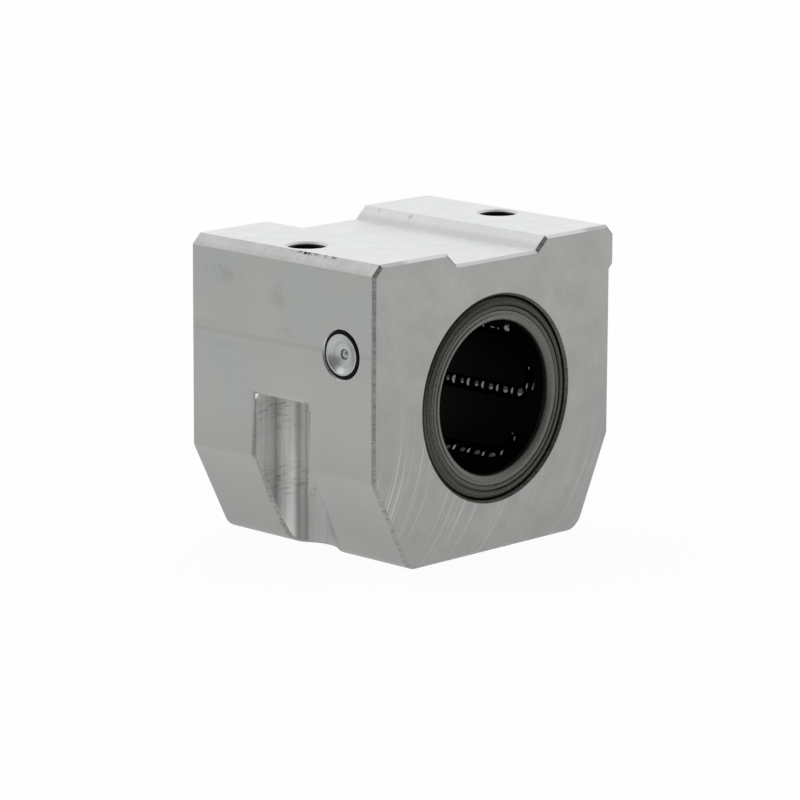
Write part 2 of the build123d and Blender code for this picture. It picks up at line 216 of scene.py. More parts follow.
# Aluminium of the block. Each surface keeps the marks of the tool that made it. Pairs are the two
# places between which a zone fades.
blockFinish = {
    "footShadeShare": 0.82,         # painted shade: the sides and ends darken towards the foot, to this share of colour
    "endFootShade": (26.0, -28.0),
    "sideFootShade": (-2.0, -24.0),
    "endDark": "#A6A6A4",
    "endLight": "#B8B8B6",
    "endScratch": "#DADAD8",
    "cutterRadius": 39.0,    # a face mill that crossed the ends along X
    "cutterHeight": 0.4,
    "cutterDrift": 0.012,    # how fast a tooth's mark changes on its way round
    "toothSpacing": 0.42,
    "scratchHeights": (6.0, -14.0),  # the bright scratches gather low down
    "scratchSides": (8.0, -16.0),    # and on the left
    "sideWarm": "#B3B2AF",
    "sideCool": "#AEB1AF",
    "sideMark": "#9D9E9B",
    "sideLine": 12.1,        # height of a faint rubbed line along the side, and how it falls along Y
    "sideLineFall": 0.01,
    "sideLineReach": (0.9, 0.1),
    "smears": ((16.0, 23.5, 7.5, 2.6), (0.5, 20.8, 3.5, 3.0), (-2.0, 14.0, 3.5, 1.6)),  # Y, Z, half sizes
    "speck": "#5C5C59",
    "speckReach": (0.045, 0.02),     # in the speck pattern's own cells, about 7 mm apart
    # painted light: the mounting face's colour, almost white and lighter than the ends
    "topLitDark": "#E9EAEB",
    "topLitLight": "#F2F3F4",
    "topEdge": "#BCBDBC",
    "topEdgeLight": "#CCCDCC",
    "grooveSides": (26.0, 24.0),     # nearer to the middle than this, an edge is the groove's wall, which is painted lighter by this share
    "grooveWallPaintedLight": 0.6,               # which is lighter by this share
    # darker towards the groove's floor, between these heights
    "grooveFootDark": "#9C978D",
    "grooveFootHeights": (28.9, 28.2),
    "nick": "#332D27",
    "nickBox": (-31.6, 0.42, -8.0, 6.0),  # middle and half size in X, then in Y
    "nickSpots": ((13.1, 11.1, 29.35, 0.7), (13.3, 20.1, 29.5, 0.5), (8.7, 8.2, 27.6, 0.4)),  # and reach
    "chamferDark": "#888886",
    "chamferLight": "#AEAEAC",
    "mouthDark": "#858582",
    "mouthLight": "#A6A6A3",
    # painted shade: the bore's chamfered rim is darker than the other chamfers
    "rimShadeDark": "#4A4A47",
    "rimShadeLight": "#6E6E6B",
    "coneLight": "#D8D9DA",
    "coneShadeRadii": (3.63, 3.78),  # painted shade: the mouths of the screw holes turn black inside this radius
    "pocketCentre": 28.2,    # of its round end
    # painted shade: the pocket's wall darkens towards its bottom, to this share of colour
    "pocketLowShade": (-10.0, -26.0),
    "pocketLowShadeShare": 0.72,
    "pocketRubs": ((-4.2, 4.5), (-17.5, 5.5)),  # middle and half height of two rubbed zones
    "rub": "#6A6A66",
    # painted shade: the tapped walls and threads are dark, for the shade deep in the holes
    "threadShadeDark": "#2C2C2A",
    "threadShadeLight": "#4A4A47",
    "boreDark": "#9A9A98",
    "boreLight": "#C2C2C0",
}
# Painted reflection and shade on the pocket's round wall, by degrees about its centre from the middle of
# the unit: light and dark bands where its curve turns towards brighter and darker parts of the room
pocketPaintedReflections = [
    (-180, "#C4C5C3"), (-60, "#C4C5C3"), (-12, "#C2C3C1"), (29, "#C6C7C5"), (33, "#C0C1BE"),
    (36, "#969693"), (38.4, "#989895"), (40, "#B3B3B0"), (44, "#AFAFAC"), (47.5, "#9C9C99"),
    (50.5, "#A3A3A0"), (54, "#CCCDCB"), (58, "#EEEFED"), (66, "#FAFBFA"), (76, "#F4F5F3"),
    (82, "#EAEBE9"), (85.8, "#D2D2CF"), (87.5, "#CCCCC9"), (91, "#ECEDEB"), (104, "#F2F3F1"),
    (112, "#FAFBFA"), (180, "#FAFBFA"),
]


def faceMilledAluminium():
    # Aluminium, face-milled: even satin, crossed by the faint arcs of the cutter's teeth
    look = blockFinish
    material, tree, shader, place, axes = newMaterial("faceMilledAluminium", {"Metallic": 1.0})
    lifted = addNode(tree, "Math", {"operation": "SUBTRACT", 1: look["cutterHeight"]}, {0: axes["Z"]})[0]
    squared = addNode(tree, "Math", {"operation": "MULTIPLY"}, {0: lifted, 1: lifted})[0]
    left = addNode(tree, "Math", {"operation": "SUBTRACT", 0: look["cutterRadius"] ** 2}, {1: squared})[0]
    reach = addNode(tree, "Math", {"operation": "SQRT"}, {0: left})[0]
    arc = addNode(tree, "Math", {"operation": "SUBTRACT"}, {0: axes["X"], 1: reach})[0]
    swept = addNode(tree, "Math", {"operation": "MULTIPLY", 1: look["cutterDrift"]}, {0: axes["Z"]})[0]
    lines = addNode(tree, "CombineXYZ", {}, {0: arc, 1: swept, 2: axes["Y"]})[0]
    fine = addNode(tree, "TexNoise", {"Scale": 1 / look["toothSpacing"], "Detail": 3.0, "Roughness": 0.6},
                   {"Vector": lines})[0]
    broad = addNode(tree, "TexNoise", {"Scale": 0.22, "Detail": 2.0}, {"Vector": place})[0]
    grain = addNode(tree, "TexNoise", {"Scale": 3.0, "Detail": 3.0, "Roughness": 0.7}, {"Vector": place})[0]
    both = addNode(tree, "Mix", {"data_type": "FLOAT", 0: 0.45}, {2: fine, 3: broad})[0]
    mixed = addNode(tree, "Mix", {"data_type": "FLOAT", 0: 0.3}, {2: both, 3: grain})[0]
    level = addNode(tree, "MapRange", {"From Min": 0.36, "From Max": 0.64}, {"Value": mixed})[0]
    colour = addNode(tree, "Mix", {"data_type": "RGBA", 6: linear(look["endDark"]),
                                   7: linear(look["endLight"])}, {0: level})[2]
    scratch = addNode(tree, "TexNoise", {"Scale": 2.2, "Detail": 0.0}, {"Vector": lines})[0]
    scratched = addNode(tree, "MapRange", {"From Min": 0.66, "From Max": 0.78}, {"Value": scratch})[0]
    for axis, zone, least, most in (("Z", look["scratchHeights"], 0.1, 0.6),
                                    ("X", look["scratchSides"], 0.35, 1.0)):
        inZone = addNode(tree, "MapRange", {
            "interpolation_type": "SMOOTHSTEP", "From Min": zone[0], "From Max": zone[1],
            "To Min": least, "To Max": most}, {"Value": axes[axis]})[0]
        scratched = addNode(tree, "Math", {"operation": "MULTIPLY"}, {0: scratched, 1: inZone})[0]
    colour = addNode(tree, "Mix", {"data_type": "RGBA", 7: linear(look["endScratch"])},
                     {0: scratched, 6: colour})[2]
    # Painted shade: the ends darken towards the foot
    paintedLowShade = addNode(tree, "MapRange", {"From Min": look["endFootShade"][0], "From Max": look["endFootShade"][1],
                                      "To Min": 1.0, "To Max": look["footShadeShare"]}, {"Value": axes["Z"]})[0]
    colour = addNode(tree, "VectorMath", {"operation": "SCALE"}, {0: colour, "Scale": paintedLowShade})[0]
    tree.links.new(colour, shader.inputs["Base Color"])
    rough = addNode(tree, "MapRange", {"From Min": 0.3, "From Max": 0.7, "To Min": 0.4, "To Max": 0.5},
                    {"Value": fine})[0]
    tree.links.new(rough, shader.inputs["Roughness"])
    bump = addNode(tree, "Bump", {"Strength": 0.12, "Distance": 0.01 * mm}, {"Height": fine})[0]
    tree.links.new(bump, shader.inputs["Normal"])
    return material


def extrudedAluminium():
    # Aluminium, extruded and tumbled: soft even satin with a cloudy tint, faint smudges, a rubbed line
    # along the side and a few dark specks
    look = blockFinish
    material, tree, shader, place, axes = newMaterial("extrudedAluminium", {"Metallic": 1.0})
    clouds = addNode(tree, "TexNoise", {"Scale": 0.05, "Detail": 2.0}, {"Vector": place})[0]
    tint = addNode(tree, "MapRange", {"From Min": 0.38, "From Max": 0.62}, {"Value": clouds})[0]
    colour = addNode(tree, "Mix", {"data_type": "RGBA", 6: linear(look["sideWarm"]),
                                   7: linear(look["sideCool"])}, {0: tint})[2]
    grain = addNode(tree, "TexNoise", {"Scale": 2.2, "Detail": 4.0, "Roughness": 0.7}, {"Vector": place})[0]
    fibre = addNode(tree, "VectorMath", {"operation": "MULTIPLY", 1: (1, 0.05, 1)}, {0: place})[0]
    lines = addNode(tree, "TexNoise", {"Scale": 1.3, "Detail": 3.0}, {"Vector": fibre})[0]
    marks = addNode(tree, "Mix", {"data_type": "FLOAT", 0: 0.6}, {2: lines, 3: grain})[0]
    depth = addNode(tree, "MapRange", {"From Min": 0.6, "From Max": 0.36, "To Max": 0.16},
                    {"Value": marks})[0]
    smudge = addNode(tree, "TexNoise", {"noise_dimensions": "4D", "W": 2.0, "Scale": 0.16, "Detail": 4.0,
                                        "Roughness": 0.6}, {"Vector": fibre})[0]
    smudged = addNode(tree, "MapRange", {"From Min": 0.56, "From Max": 0.72, "To Max": 0.42},
                      {"Value": smudge})[0]
    tilted = addNode(tree, "VectorMath", {"operation": "DOT_PRODUCT", 1: (0, look["sideLineFall"], 1)},
                     {0: place})["Value"]
    rubbed = fadeAround(tree, tilted, look["sideLine"], *look["sideLineReach"], most=0.42)
    patch = addNode(tree, "TexNoise", {"Scale": 0.4, "Detail": 5.0, "Roughness": 0.65},
                    {"Vector": place})[0]
    patch = addNode(tree, "MapRange", {"From Min": 0.4, "From Max": 0.62, "To Max": 0.62},
                    {"Value": patch})[0]
    dark = addNode(tree, "Math", {"operation": "MAXIMUM"}, {0: depth, 1: smudged})[0]
    dark = addNode(tree, "Math", {"operation": "MAXIMUM"}, {0: dark, 1: rubbed})[0]
    for y, z, halfY, halfZ in look["smears"]:
        away = addNode(tree, "VectorMath", {"operation": "SUBTRACT", 1: (0, y, z)}, {0: place})[0]
        away = addNode(tree, "VectorMath", {"operation": "MULTIPLY", 1: (0, 1 / halfY, 1 / halfZ)},
                       {0: away})[0]
        away = addNode(tree, "VectorMath", {"operation": "LENGTH"}, {0: away})["Value"]
        inside = addNode(tree, "MapRange", {"interpolation_type": "SMOOTHSTEP", "From Min": 1.2,
                                            "From Max": 0.3}, {"Value": away})[0]
        smeared = addNode(tree, "Math", {"operation": "MULTIPLY"}, {0: inside, 1: patch})[0]
        dark = addNode(tree, "Math", {"operation": "MAXIMUM"}, {0: dark, 1: smeared})[0]
    colour = addNode(tree, "Mix", {"data_type": "RGBA", 7: linear(look["sideMark"])},
                     {0: dark, 6: colour})[2]
    spots = addNode(tree, "TexVoronoi", {"Scale": 0.14}, {"Vector": place})
    near = addNode(tree, "MapRange", {"From Min": look["speckReach"][0], "From Max": look["speckReach"][1]},
                   {"Value": spots["Distance"]})[0]
    chance = addNode(tree, "SeparateXYZ", {}, {0: spots["Color"]})["X"]
    some = addNode(tree, "MapRange", {"From Min": 0.72, "From Max": 0.9, "To Max": 0.8},
                   {"Value": chance})[0]
    speck = addNode(tree, "Math", {"operation": "MULTIPLY"}, {0: near, 1: some})[0]
    colour = addNode(tree, "Mix", {"data_type": "RGBA", 7: linear(look["speck"])},
                     {0: speck, 6: colour})[2]
    # Painted shade: the sides darken towards the foot
    paintedLowShade = addNode(tree, "MapRange", {"From Min": look["sideFootShade"][0], "From Max": look["sideFootShade"][1],
                                      "To Min": 1.0, "To Max": look["footShadeShare"]}, {"Value": axes["Z"]})[0]
    colour = addNode(tree, "VectorMath", {"operation": "SCALE"}, {0: colour, "Scale": paintedLowShade})[0]
    tree.links.new(colour, shader.inputs["Base Color"])
    rough = addNode(tree, "MapRange", {"From Min": 0.3, "From Max": 0.7, "To Min": 0.44, "To Max": 0.52},
                    {"Value": grain})[0]
    tree.links.new(rough, shader.inputs["Roughness"])
    bump = addNode(tree, "Bump", {"Strength": 0.12, "Distance": 0.01 * mm}, {"Height": marks})[0]
    tree.links.new(bump, shader.inputs["Normal"])
    return material


def topMilledAluminium(name, dark, light, isEdge):
    # Aluminium, finely milled mounting face, with a faint texture; its colour is painted light, almost
    # white and lighter than the ends. Its edges are its long chamfers and the groove's walls, which are
    # painted lighter and darken at their foot, with nicks beside a screw hole.
    look = blockFinish
    material, tree, shader, place, axes = newMaterial(name, {"Metallic": 1.0, "Roughness": 0.42})
    along = addNode(tree, "Mapping", {"Rotation": (0, 0, math.radians(-45)), "Scale": (0.06, 1, 1)},
                    {0: place})[0]
    lines = addNode(tree, "TexNoise", {"Scale": 1.1, "Detail": 3.0, "Roughness": 0.6}, {"Vector": along})[0]
    clouds = addNode(tree, "TexNoise", {"Scale": 0.2, "Detail": 3.0}, {"Vector": place})[0]
    marks = addNode(tree, "Mix", {"data_type": "FLOAT", 0: 0.5}, {2: lines, 3: clouds})[0]
    level = addNode(tree, "MapRange", {"From Min": 0.35, "From Max": 0.6}, {"Value": marks})[0]
    colour = addNode(tree, "Mix", {"data_type": "RGBA", 6: linear(dark), 7: linear(light)}, {0: level})[2]
    grit = addNode(tree, "TexNoise", {"Scale": 2.0, "Detail": 2.0}, {"Vector": place})["Color"]
    ragged = addNode(tree, "VectorMath", {"operation": "ADD"}, {0: place, 1: grit})[0]
    for x, y, z, reach in look["nickSpots"]:
        # The grit's colour is about half in each channel, so the spot is shifted by as much
        away = addNode(tree, "VectorMath", {"operation": "DISTANCE", 1: (x + 0.5, y + 0.5, z + 0.5)},
                       {0: ragged})["Value"]
        spot = addNode(tree, "MapRange", {"From Min": reach, "From Max": 0.5 * reach, "To Max": 0.75},
                       {"Value": away})[0]
        colour = addNode(tree, "Mix", {"data_type": "RGBA", 7: linear(look["nick"])},
                         {0: spot, 6: colour})[2]
    if isEdge:
        # Painted light lifts the groove's walls towards the face's colour, and they darken towards their
        # foot
        away = addNode(tree, "Math", {"operation": "ABSOLUTE"}, {0: axes["X"]})[0]
        for value, zone, most, shade in ((away, look["grooveSides"], look["grooveWallPaintedLight"], look["topLitLight"]),
                                         (axes["Z"], look["grooveFootHeights"], 0.22, look["grooveFootDark"])):
            inZone = addNode(tree, "MapRange", {"From Min": zone[0], "From Max": zone[1], "To Max": most},
                             {"Value": value})[0]
            colour = addNode(tree, "Mix", {"data_type": "RGBA", 7: linear(shade)},
                             {0: inZone, 6: colour})[2]
        middleX, halfX, middleY, halfY = look["nickBox"]
        chips = addNode(tree, "TexNoise", {"Scale": 1.1, "Detail": 5.0, "Roughness": 0.8},
                        {"Vector": place})[0]
        struck = addNode(tree, "MapRange", {"From Min": 0.5, "From Max": 0.56}, {"Value": chips})[0]
        for axis, middle, half in (("X", middleX, halfX), ("Y", middleY, halfY)):
            inside = fadeAround(tree, axes[axis], middle, half, half * 0.7, "LINEAR")
            struck = addNode(tree, "Math", {"operation": "MULTIPLY"}, {0: struck, 1: inside})[0]
        colour = addNode(tree, "Mix", {"data_type": "RGBA", 7: linear(look["nick"])},
                         {0: struck, 6: colour})[2]
    tree.links.new(colour, shader.inputs["Base Color"])
    bump = addNode(tree, "Bump", {"Strength": 0.12, "Distance": 0.01 * mm}, {"Height": lines})[0]
    tree.links.new(bump, shader.inputs["Normal"])
    return material


def chamferedAluminium(name, dark, light):
    # Aluminium, chamfered with a file-like cutter: darker, partly as painted shade, with close ticks across
    # it
    material, tree, shader, place, axes = newMaterial(name, {"Metallic": 1.0, "Roughness": 0.55})
    across = addNode(tree, "VectorMath", {"operation": "MULTIPLY", 1: (0.3, 0.3, 1)}, {0: place})[0]
    ticks = addNode(tree, "TexNoise", {"Scale": 2.6, "Detail": 2.0, "Roughness": 0.6},
                    {"Vector": across})[0]
    level = addNode(tree, "MapRange", {"From Min": 0.3, "From Max": 0.7}, {"Value": ticks})[0]
    colour = addNode(tree, "Mix", {"data_type": "RGBA", 6: linear(dark), 7: linear(light)}, {0: level})[2]
    tree.links.new(colour, shader.inputs["Base Color"])
    bump = addNode(tree, "Bump", {"Strength": 0.3, "Distance": 0.02 * mm}, {"Height": ticks})[0]
    tree.links.new(bump, shader.inputs["Normal"])
    return material


def slotMilledAluminium():
    # Aluminium, milled with the side of a slot cutter: smooth, with bands of painted reflection and shade
    # straight up the wall, painted shade towards its bottom, and short dark rubs where chips went round
    look = blockFinish
    material, tree, shader, place, axes = newMaterial("slotMilledAluminium",
                                                      {"Metallic": 1.0, "Roughness": 0.42})
    away = addNode(tree, "Math", {"operation": "ABSOLUTE"}, {0: axes["X"]})[0]
    inward = addNode(tree, "Math", {"operation": "SUBTRACT", 0: look["pocketCentre"]}, {1: away})[0]
    turn = addNode(tree, "Math", {"operation": "ARCTAN2"}, {0: axes["Y"], 1: inward})[0]
    wobble = addNode(tree, "VectorMath", {"operation": "MULTIPLY", 1: (0, 0, 0.12)}, {0: place})[0]
    wobble = addNode(tree, "TexNoise", {"Scale": 1.0, "Detail": 1.0}, {"Vector": wobble})[0]
    wobble = addNode(tree, "MapRange", {"To Min": -0.03, "To Max": 0.03}, {"Value": wobble})[0]
    turn = addNode(tree, "Math", {"operation": "ADD"}, {0: turn, 1: wobble})[0]
    # Painted reflection and shade, in bands by angle round the pocket's end
    share = addNode(tree, "MapRange", {"From Min": -math.pi, "From Max": math.pi}, {"Value": turn})[0]
    paintedReflection = addNode(tree, "ValToRGB", {}, {0: share})[0]
    stops = paintedReflection.node.color_ramp.elements
    for number, (degrees, shade) in enumerate(pocketPaintedReflections):
        at = (degrees + 180) / 360
        stop = stops[number] if number < 2 else stops.new(at)
        stop.position, stop.color = at, linear(shade)
    upright = addNode(tree, "VectorMath", {"operation": "MULTIPLY", 1: (1, 1, 0.03)}, {0: place})[0]
    lines = addNode(tree, "TexNoise", {"Scale": 1.4, "Detail": 3.0, "Roughness": 0.6},
                    {"Vector": upright})[0]
    shade = addNode(tree, "MapRange", {"From Min": 0.35, "From Max": 0.65, "To Min": 0.9, "To Max": 1.06},
                    {"Value": lines})[0]
    # Painted shade: the wall darkens towards the pocket's bottom
    paintedLowShade = addNode(tree, "MapRange", {
        "interpolation_type": "SMOOTHSTEP", "From Min": look["pocketLowShade"][0],
        "From Max": look["pocketLowShade"][1], "To Min": 1.0, "To Max": look["pocketLowShadeShare"]},
        {"Value": axes["Z"]})[0]
    shade = addNode(tree, "Math", {"operation": "MULTIPLY"}, {0: shade, 1: paintedLowShade})[0]
    colour = addNode(tree, "VectorMath", {"operation": "SCALE"}, {0: paintedReflection, "Scale": shade})[0]
    flat = addNode(tree, "VectorMath", {"operation": "MULTIPLY", 1: (0.35, 0.25, 1.3)}, {0: place})[0]
    rubs = addNode(tree, "TexNoise", {"Scale": 1.0, "Detail": 4.0, "Roughness": 0.7}, {"Vector": flat})[0]
    rubbed = addNode(tree, "MapRange", {"From Min": 0.52, "From Max": 0.68, "To Max": 0.5},
                     {"Value": rubs})[0]
    upper, lower = [fadeAround(tree, axes["Z"], middle, half, 0.3 * half)
                    for middle, half in look["pocketRubs"]]
    zone = addNode(tree, "Math", {"operation": "ADD"}, {0: upper, 1: lower})[0]
    rubbed = addNode(tree, "Math", {"operation": "MULTIPLY"}, {0: rubbed, 1: zone})[0]
    colour = addNode(tree, "Mix", {"data_type": "RGBA", 7: linear(look["rub"])},
                     {0: rubbed, 6: colour})[2]
    tree.links.new(colour, shader.inputs["Base Color"])
    bump = addNode(tree, "Bump", {"Strength": 0.2, "Distance": 0.02 * mm}, {"Height": lines})[0]
    tree.links.new(bump, shader.inputs["Normal"])
    return material


def boredAluminium(name, dark, light, rings):
    # Aluminium, bored, counterbored or tapped: satin rings round the hole; a thread's dark colours are
    # painted shade
    material, tree, shader, place, axes = newMaterial(name, {"Metallic": 1.0, "Roughness": 0.35})
    rings = addNode(tree, "VectorMath", {"operation": "MULTIPLY", 1: rings}, {0: place})[0]
    lines = addNode(tree, "TexNoise", {"Scale": 4.0, "Detail": 2.0}, {"Vector": rings})[0]
    level = addNode(tree, "MapRange", {"From Min": 0.35, "From Max": 0.65}, {"Value": lines})[0]
    colour = addNode(tree, "Mix", {"data_type": "RGBA", 6: linear(dark), 7: linear(light)}, {0: level})[2]
    tree.links.new(colour, shader.inputs["Base Color"])
    return material


def countersunkAluminium(screwPlace):
    # Aluminium, countersunk: light satin like the face round it, and painted black further in, as the shade
    # inside the hole
    look = blockFinish
    material, tree, shader, place, axes = newMaterial("countersunkAluminium",
                                                      {"Metallic": 1.0, "Roughness": 0.4})
    away = addNode(tree, "Math", {"operation": "ABSOLUTE"}, {0: axes["X"]})[0]
    away = addNode(tree, "Math", {"operation": "SUBTRACT", 1: screwPlace}, {0: away})[0]
    flat = addNode(tree, "CombineXYZ", {}, {0: away, 1: axes["Y"]})[0]
    radius = addNode(tree, "VectorMath", {"operation": "LENGTH"}, {0: flat})["Value"]
    outside = addNode(tree, "MapRange", {"From Min": look["coneShadeRadii"][0], "From Max": look["coneShadeRadii"][1]},
                      {"Value": radius})[0]
    colour = addNode(tree, "Mix", {"data_type": "RGBA", 6: linear(look["threadShadeDark"]),
                                   7: linear(look["coneLight"])}, {0: outside})[2]
    tree.links.new(colour, shader.inputs["Base Color"])
    return material


# The block: a copy of the housing, sorted into the surfaces that different tools made
block = {
    "halfWidth": 33.5,
    "halfLength": 25.0,
    "top": 30.0,
    "foot": -30.0,
    "stripDepth": 1.0,       # the locating strip stands this proud of the right side
    "grooveFloor": 27.5,
    "endBand": 0.65,         # depth of the ends' chamfers, with a little to spare
    "boreReach": 20.8,       # everything nearer to the shaft's axis is bored
    "screwPlace": 26.5,
    "screwReach": 4.4,
    "screwCore": 3.4,
    "threadRoot": 4.0,
    "threadStart": 28.95,    # the wall opens out to the thread's root here, under the mouth's cone
    "pocketHalfWidth": 7.76,
    "pocketWall": 7.3,       # past this, or above its ceiling, the mouth's broken edge begins
    "pocketCeiling": 1.0,
    "mouthTop": 1.5,
    "seatPlace": (-16.25, 12.0),
    "seatReach": 5.1,
    "seatDepth": 9.0,
    "skin": 0.02,            # a face's middle that is this near to a plane lies on it
    "onWall": 0.03,          # and a corner this near to a hole's wall belongs to it
    "weld": 0.001,
    "edgeBreak": 0.07,
    "flatAngle": 0.2,        # degrees between two faces, up to which they are one flat
    "sharpAngle": 28.0,      # past which their edge is broken
    "shadeAngle": 40.0,      # and up to which they shade smoothly
}


def blockSurface(face):
    # Which surface a face of the block belongs to, from its place and normal
    look, skin = block, block["skin"]
    x, y, z = face.calc_center_median() / mm
    n = face.normal
    fromAxis = math.hypot(x, z)
    fromSeat = math.hypot(y - look["seatPlace"][0], z - look["seatPlace"][1])
    fromScrew = math.hypot(abs(x) - look["screwPlace"], y)
    onEnd = abs(y) > look["halfLength"] - look["endBand"]
    if fromAxis < look["boreReach"] and abs(n.y) < 0.99:
        return "rim" if onEnd else "bored"
    if fromSeat < look["seatReach"] and x < look["seatDepth"] - look["halfWidth"]:
        if not (n.x < -0.99 and x < skin - look["halfWidth"]):
            return "bored"
    if abs(n.y) > 0.99 and onEnd:
        return "end"
    if onEnd and 0.5 < abs(n.y) < 0.9:
        return "topEdge" if n.z > 0.3 and abs(n.x) < 0.3 else "chamfer"
    if fromScrew < look["screwReach"] and look["pocketCeiling"] + skin < z < look["top"] - skin:
        return "cone" if z > look["threadStart"] else "thread"
    if n.z > 0.3 and z > look["grooveFloor"] - skin:
        return "top" if n.z > 0.99 else "topEdge"
    if abs(y) < look["pocketHalfWidth"] and z < look["mouthTop"] and fromAxis > look["boreReach"]:
        outside = (
            abs(n.x) > 0.999 and abs(x) > look["halfWidth"] - look["stripDepth"] - skin
            or n.z < -0.999 and z < look["foot"] + skin
            or abs(n.y) < 0.02 and n.z < -0.2 and abs(n.x) > 0.5
        )
        fromMiddle = math.hypot(min(abs(x) - blockFinish["pocketCentre"], 0), y)
        if not outside:
            onEdge = fromMiddle > look["pocketWall"] or z > look["pocketCeiling"] + skin
            return "mouth" if onEdge else "pocket"
    return "extruded"


def openThreads(mesh):
    # The screw holes' walls step out to the thread's root below the mouth
    side = block["screwPlace"]
    lowest = block["pocketCeiling"] - 0.1
    walls = [face for face in mesh.faces if all(
        abs(math.hypot(abs(vert.co.x / mm) - side, vert.co.y / mm) - block["screwCore"]) < block["onWall"]
        and vert.co.z > lowest * mm for vert in face.verts)]
    around = {part for face in walls for part in (face, *face.edges, *face.verts)}
    bmesh.ops.bisect_plane(mesh, geom=list(around), dist=1e-7, plane_co=(0, 0, block["threadStart"] * mm),
                           plane_no=(0, 0, 1))
    for vert in mesh.verts:
        x, y, z = vert.co / mm
        toward = math.copysign(side, x)
        away = math.hypot(x - toward, y)
        if abs(away - block["screwCore"]) < block["onWall"] and lowest < z < block["threadStart"] + 0.01:
            grow = block["threadRoot"] / away
            vert.co.x = (toward + (x - toward) * grow) * mm
            vert.co.y = y * grow * mm


def makeBlock():
    look = blockFinish
    surfaces = {
        "extruded": extrudedAluminium(),
        "end": faceMilledAluminium(),
        "top": topMilledAluminium("topMilledAluminium", look["topLitDark"], look["topLitLight"], False),
        "topEdge": topMilledAluminium("edgeMilledAluminium", look["topEdge"], look["topEdgeLight"], True),
        "chamfer": chamferedAluminium("chamferedAluminium", look["chamferDark"], look["chamferLight"]),
        "mouth": chamferedAluminium("brokenEdgeAluminium", look["mouthDark"], look["mouthLight"]),
        "rim": chamferedAluminium("boreRimAluminium", look["rimShadeDark"], look["rimShadeLight"]),
        "cone": countersunkAluminium(block["screwPlace"]),
        "pocket": slotMilledAluminium(),
        "bored": boredAluminium("boredAluminium", look["boreDark"], look["boreLight"], (0.1, 1, 0.1)),
        "thread": boredAluminium("tappedAluminium", look["threadShadeDark"], look["threadShadeLight"], (0.1, 0.1, 1)),
    }
    order = list(surfaces)
    mesh = bmesh.new()
    mesh.from_mesh(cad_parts["housing"].data)
    bmesh.ops.remove_doubles(mesh, verts=mesh.verts, dist=block["weld"] * mm)
    openThreads(mesh)
    mesh.normal_update()
    for face in mesh.faces:
        face.material_index = order.index(blockSurface(face))
    bmesh.ops.dissolve_limit(mesh, angle_limit=math.radians(block["flatAngle"]), verts=mesh.verts,
                             edges=mesh.edges, delimit={"MATERIAL"})
    edges = [edge for edge in mesh.edges if len(edge.link_faces) == 2
             and edge.calc_face_angle() > math.radians(block["sharpAngle"])]
    bmesh.ops.bevel(mesh, geom=edges, offset=block["edgeBreak"] * mm, offset_type="OFFSET", segments=2,
                    profile=0.5, affect="EDGES", clamp_overlap=True, material=-1)
    bmesh.ops.triangulate(mesh, faces=[face for face in mesh.faces if len(face.verts) > 4])
    for face in mesh.faces:
        face.smooth = True
    for edge in mesh.edges:
        if len(edge.link_faces) == 2:
            edge.smooth = edge.calc_face_angle() < math.radians(block["shadeAngle"])
    piece = makeObject(mesh, "milledBlock", surfaces.values())
    weighted = piece.modifiers.new("flatNormals", "WEIGHTED_NORMAL")
    weighted.keep_sharp = True
    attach(piece, "unit")
    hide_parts("housing")
    return surfaces


surfaces = makeBlock()
print("block sorted into its surfaces")

# Threads of the two screw holes, as one ridge that climbs round each
thread = {
    "pitch": 1.25,
    "root": 4.02,            # a little into the wall
    "crest": 3.4,
    "crestWidth": 0.16,
    "rootShare": 0.98,       # how much of the pitch the ridge's root takes
    "low": 1.3,
    "high": 28.9,
    "steps": 28,             # to a turn
}


def makeThreads():
    mesh = bmesh.new()
    turns = (thread["high"] - thread["low"]) / thread["pitch"] - 1
    steps = round(turns * thread["steps"])
    rootHalf = thread["pitch"] / 2 * thread["rootShare"]
    crestHalf = thread["crestWidth"] / 2
    middle = thread["low"] + rootHalf
    corners = [(thread["root"], -rootHalf), (thread["crest"], -crestHalf),
               (thread["crest"], crestHalf), (thread["root"], rootHalf)]
    for side in (-1, 1):
        axisX = side * block["screwPlace"]
        verts = [mesh.verts.new(((axisX + r) * mm, 0, (middle + z) * mm)) for r, z in corners]
        ridge = mesh.faces.new(verts)
        bmesh.ops.spin(mesh, geom=[ridge, *ridge.verts, *ridge.edges], cent=(axisX * mm, 0, 0),
                       axis=(0, 0, 1), dvec=(0, 0, thread["pitch"] / thread["steps"] * mm),
                       angle=math.tau * steps / thread["steps"], steps=steps, use_merge=False,
                       use_duplicate=False)
    bmesh.ops.recalc_face_normals(mesh, faces=mesh.faces)
    piece = makeObject(mesh, "screwThreads", [surfaces["thread"]])
    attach(piece, "unit")


makeThreads()
print("threads cut")

# Bushing and nipple: CAD nodes that keep their shape and get their finish
fittings = {
    "sleeveDark": "#282623",
    "sleeveLight": "#5A5853",
    "retainerDark": "#34322E",
    "retainerLight": "#64625C",
    "sealDark": "#6A6B64",
    "sealLight": "#797A72",
    "oil": "#0C0D0C",
    "oilDepths": (24.65, 24.1),  # distances from the middle, along Y, between which a seal's lip turns dark with painted shade
    "oilShare": 0.92,
    "cageDark": "#020202",
    "cageLight": "#050505",
    "ball": "#6C6D6D",
    "checkBallDark": "#9A9B97",
    "checkBallLight": "#B4B5B0",
    "nippleDark": "#9EA2A0",
    "nippleLight": "#BFC3C1",
    "wire": "#A9A9A6",
    # the black ring round the nipple's head is black rubber, and also stands as painted shade for the gap
    # there
    "ringDark": "#070807",
    "ringLight": "#111311",
}


